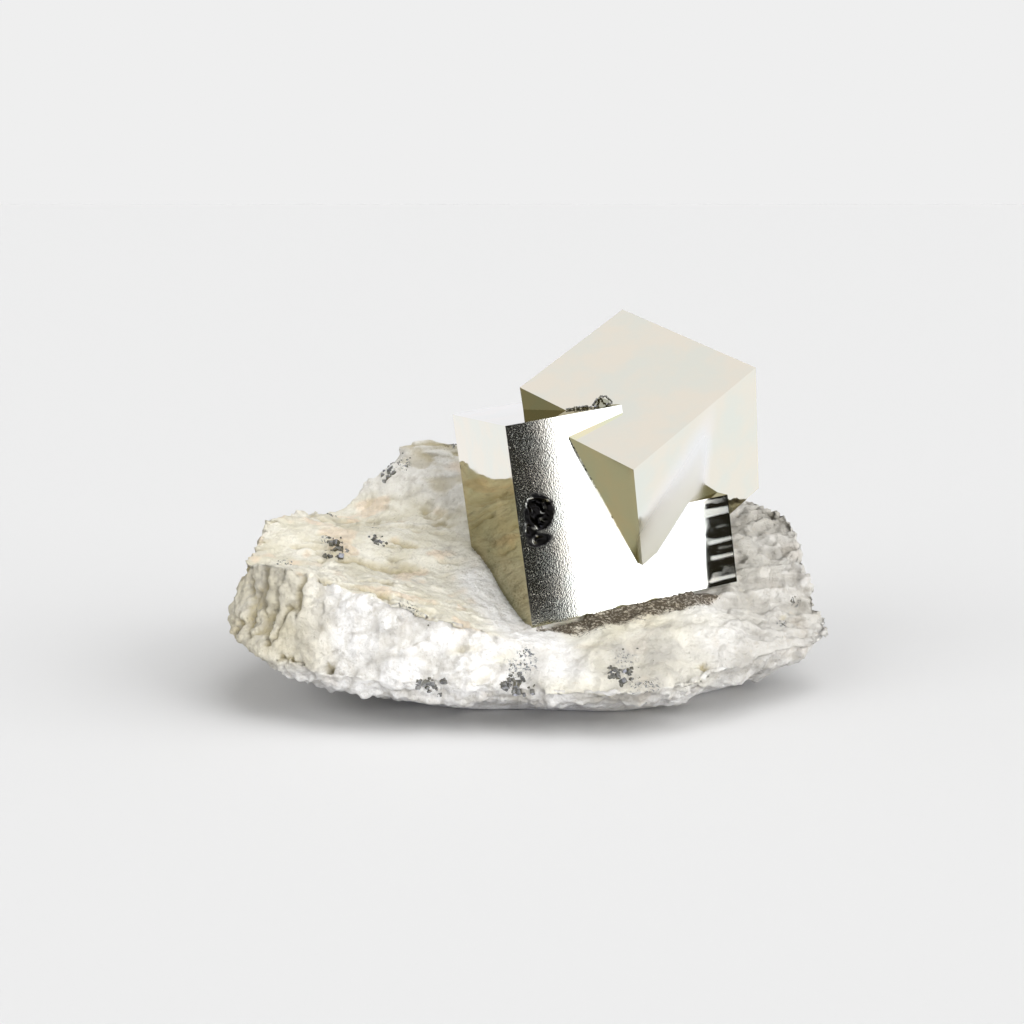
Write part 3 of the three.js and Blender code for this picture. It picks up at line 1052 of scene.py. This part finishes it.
# What the crystals mirror: the table, the high and low parts of the room, a bright
# overhead softbox, a sheet behind the specimen, and in front to the right a panel
# between two dark flags. The turn is where the room's low part becomes its high part.
MIRRORED_FLOOR = (1.96, 2.12, 3.10)
MIRRORED_HIGH = (1.83, 1.92, 2.75)
MIRRORED_LOW = (0.95, 1.02, 1.30)
MIRRORED_TURN = (0.66, 0.85)
SOFTBOX_GLOW = (4.4, 5.0, 9.0)
BACK_GLOW = (1.43, 1.50, 1.85)
PANEL_GLOW = (4.4, 4.8, 7.2)
LEFT_FLAG_GLOW = 0.03
RIGHT_FLAG_GLOW = 0.03

# The panel stands upright this far from a point, turned to the right. Each side of it
# is its place across at the foot and at the top.
PANEL_ABOUT = (10.0, 0.0, 0.0)
PANEL_AZIMUTH = math.radians(45.0)
PANEL_DISTANCE = 66.0
PANEL_LEFT = (-7.6, -13.2)
PANEL_RIGHT = (14.5, 14.5)
FLAG_WIDTH = 30.0
SCREEN_LOW = 0.3
SCREEN_HIGH = 60.0

# Middle and half width of the overhead softbox, and the sheet behind the specimen.
SOFTBOX_MIDDLE = (40.0, -60.0, 330.0)
SOFTBOX_HALF = 90.0
BACK_LEFT = -120.0
BACK_RIGHT = 160.0
BACK_DISTANCE = 300.0
BACK_TOP = 90.0

# The table reaches this far each way; its mirrored twin lies just under it.
TABLE_HALF = 3000.0
TWIN_DROP = 0.05


def plain_material(name, colour=(0.0, 0.0, 0.0), glow=None):
    material = bpy.data.materials.new(name)
    material.use_nodes = True
    shader = material.node_tree.nodes["Principled BSDF"]
    shader.inputs["Base Color"].default_value = (*colour, 1.0)
    shader.inputs["Roughness"].default_value = 1.0
    shader.inputs["Specular IOR Level"].default_value = 0.0
    if glow:
        shader.inputs["Emission Color"].default_value = (*glow, 1.0)
        shader.inputs["Emission Strength"].default_value = 1.0
    return material


def stage_sheet(name, corners_mm, material, mirrored_only):
    """A flat sheet of the studio. A mirrored-only sheet is seen just in reflections."""
    mesh = bpy.data.meshes.new(name)
    mesh.from_pydata([tuple(c) for c in to_part(corners_mm)], [], [(0, 1, 2, 3)])
    mesh.materials.append(material)
    sheet = new_object(name, mesh)
    sheet.visible_glossy = mirrored_only
    if mirrored_only:
        sheet.visible_camera = False
        sheet.visible_diffuse = False
        sheet.visible_shadow = False
        sheet.visible_transmission = False
    return sheet


def upright_corners(start, end):
    """Corners of an upright sheet; start and end are its sides, each (low, high)."""
    out = Vector((math.sin(PANEL_AZIMUTH), -math.cos(PANEL_AZIMUTH), 0.0))
    across = Vector((math.cos(PANEL_AZIMUTH), math.sin(PANEL_AZIMUTH), 0.0))
    middle = Vector(PANEL_ABOUT) + out * PANEL_DISTANCE
    up = Vector((0.0, 0.0, 1.0))
    low, high = SCREEN_LOW, SCREEN_HIGH
    edges = ((start[0], low), (end[0], low), (end[1], high), (start[1], high))
    return [middle + across * s + up * h for s, h in edges]


def level_corners(middle, half, height):
    """Corners of a level square sheet."""
    x, y = middle
    return [
        (x - half, y - half, height),
        (x + half, y - half, height),
        (x + half, y + half, height),
        (x - half, y + half, height),
    ]


def mirrored_sheet(name, corners, glow):
    return stage_sheet("stage_" + name, corners, plain_material(name + "_glow", glow=glow), True)


def make_studio():
    """The table and all that the crystals mirror; hands back the table."""
    albedo = plain_material("floor", (floor_albedo(),) * 3)
    table = stage_sheet("stage_floor", level_corners((0.0, 0.0), TABLE_HALF, 0.0), albedo, False)
    mirrored_sheet("floor_mirrored", level_corners((0.0, 0.0), TABLE_HALF, -TWIN_DROP), MIRRORED_FLOOR)
    beyond_left = tuple(place - FLAG_WIDTH for place in PANEL_LEFT)
    beyond_right = tuple(place + FLAG_WIDTH for place in PANEL_RIGHT)
    mirrored_sheet("panel", upright_corners(PANEL_LEFT, PANEL_RIGHT), PANEL_GLOW)
    mirrored_sheet("left_flag", upright_corners(beyond_left, PANEL_LEFT), (LEFT_FLAG_GLOW,) * 3)
    mirrored_sheet("right_flag", upright_corners(PANEL_RIGHT, beyond_right), (RIGHT_FLAG_GLOW,) * 3)
    x, y, z = SOFTBOX_MIDDLE
    mirrored_sheet("softbox", level_corners((x, y), SOFTBOX_HALF, z), SOFTBOX_GLOW)
    back = [
        (BACK_LEFT, BACK_DISTANCE, SCREEN_LOW),
        (BACK_RIGHT, BACK_DISTANCE, SCREEN_LOW),
        (BACK_RIGHT, BACK_DISTANCE, BACK_TOP),
        (BACK_LEFT, BACK_DISTANCE, BACK_TOP),
    ]
    mirrored_sheet("back", back, BACK_GLOW)
    return table


def floor_albedo():
    """Makes the lit table exactly as bright as the backdrop."""
    turn = sum(SKY_TURN) / 2
    light = SKY_LOW * turn**2 + SKY_HIGH * (1.0 - turn**2)
    light *= SKY_AHEAD + SKY_SIDEWAYS / 4
    for direction, strength, _, on_table in LAMPS.values():
        if on_table:
            light -= strength / math.pi * Vector(direction).normalized().z
    return BACKDROP / light


def elevation_ramp(tree, elevation, low, high):
    """Colour that goes from low to high with the height above the horizon."""
    ramp = tree.nodes.new("ShaderNodeValToRGB")
    for element, (position, colour) in zip(ramp.color_ramp.elements, (low, high)):
        element.position = position
        element.color = (*colour, 1.0)
    tree.links.new(elevation, ramp.inputs[0])
    return ramp.outputs["Color"]


def make_world():
    """Plain backdrop for the camera, a soft sky as light, and a room to mirror."""
    world = bpy.data.worlds.new("studio")
    bpy.context.scene.world = world
    world.use_nodes = True
    tree = world.node_tree
    output = tree.nodes["World Output"]
    path = tree.nodes.new("ShaderNodeLightPath")
    seen = tree.nodes["Background"]
    seen.inputs["Color"].default_value = (BACKDROP, BACKDROP, BACKDROP, 1.0)
    place = tree.nodes.new("ShaderNodeTexCoord")
    split = tree.nodes.new("ShaderNodeSeparateXYZ")
    tree.links.new(place.outputs["Generated"], split.inputs[0])
    elevation = split.outputs["Z"]
    soft = tree.nodes.new("ShaderNodeBackground")
    dim = (SKY_TURN[0], (SKY_LOW,) * 3)
    bright = (SKY_TURN[1], (SKY_HIGH,) * 3)
    sky = elevation_ramp(tree, elevation, dim, bright)
    tree.links.new(sky, soft.inputs["Color"])
    squared = tree.nodes.new("ShaderNodeMath")
    squared.operation = "POWER"
    squared.inputs[1].default_value = 2.0
    tree.links.new(split.outputs["X"], squared.inputs[0])
    sideways = tree.nodes.new("ShaderNodeMath")
    sideways.operation = "MULTIPLY_ADD"
    sideways.inputs[1].default_value = SKY_SIDEWAYS
    sideways.inputs[2].default_value = SKY_AHEAD
    tree.links.new(squared.outputs[0], sideways.inputs[0])
    tree.links.new(sideways.outputs[0], soft.inputs["Strength"])
    mirrored = tree.nodes.new("ShaderNodeBackground")
    walls = (MIRRORED_TURN[0], MIRRORED_LOW)
    ceiling = (MIRRORED_TURN[1], MIRRORED_HIGH)
    room = elevation_ramp(tree, elevation, walls, ceiling)
    tree.links.new(room, mirrored.inputs["Color"])
    by_gloss = tree.nodes.new("ShaderNodeMixShader")
    by_camera = tree.nodes.new("ShaderNodeMixShader")
    tree.links.new(path.outputs["Is Glossy Ray"], by_gloss.inputs[0])
    tree.links.new(soft.outputs[0], by_gloss.inputs[1])
    tree.links.new(mirrored.outputs[0], by_gloss.inputs[2])
    tree.links.new(path.outputs["Is Camera Ray"], by_camera.inputs[0])
    tree.links.new(by_gloss.outputs[0], by_camera.inputs[1])
    tree.links.new(seen.outputs[0], by_camera.inputs[2])
    tree.links.new(by_camera.outputs[0], output.inputs["Surface"])


def make_lamps(table):
    """Soft lamps; those that light only the specimen leave the table out."""
    not_table = bpy.data.collections.new("not_table")
    not_table.objects.link(table)
    for name, (direction, strength, width, on_table) in LAMPS.items():
        lamp = bpy.data.lights.new(name, "SUN")
        lamp.energy = strength
        lamp.angle = math.radians(width)
        light = new_object(name, lamp)
        light.visible_glossy = False
        light.rotation_euler = Vector(direction).to_track_quat("-Z", "Y").to_euler()
        if not on_table:
            light.light_linking.receiver_collection = not_table
    for member in not_table.collection_objects:
        member.light_linking.link_state = "EXCLUDE"


def make_camera():
    """The camera, square to the front and looking a little down."""
    lens = bpy.data.cameras.new("camera")
    lens.lens = LENS_MM
    lens.sensor_width = 36.0
    lens.clip_start = 0.01
    lens.clip_end = 20.0
    camera = new_object("camera", lens)
    camera.location = to_part(CAMERA_AT)
    camera.rotation_euler = (math.radians(90.0 - CAMERA_PITCH), 0.0, 0.0)
    scene = bpy.context.scene
    scene.camera = camera
    scene.view_settings.view_transform = "Standard"
    scene.view_settings.look = "None"


make_camera()
table = make_studio()
make_world()
make_lamps(table)
rock = sculpt_rock()
relieve_crystals()
make_grains(rock)
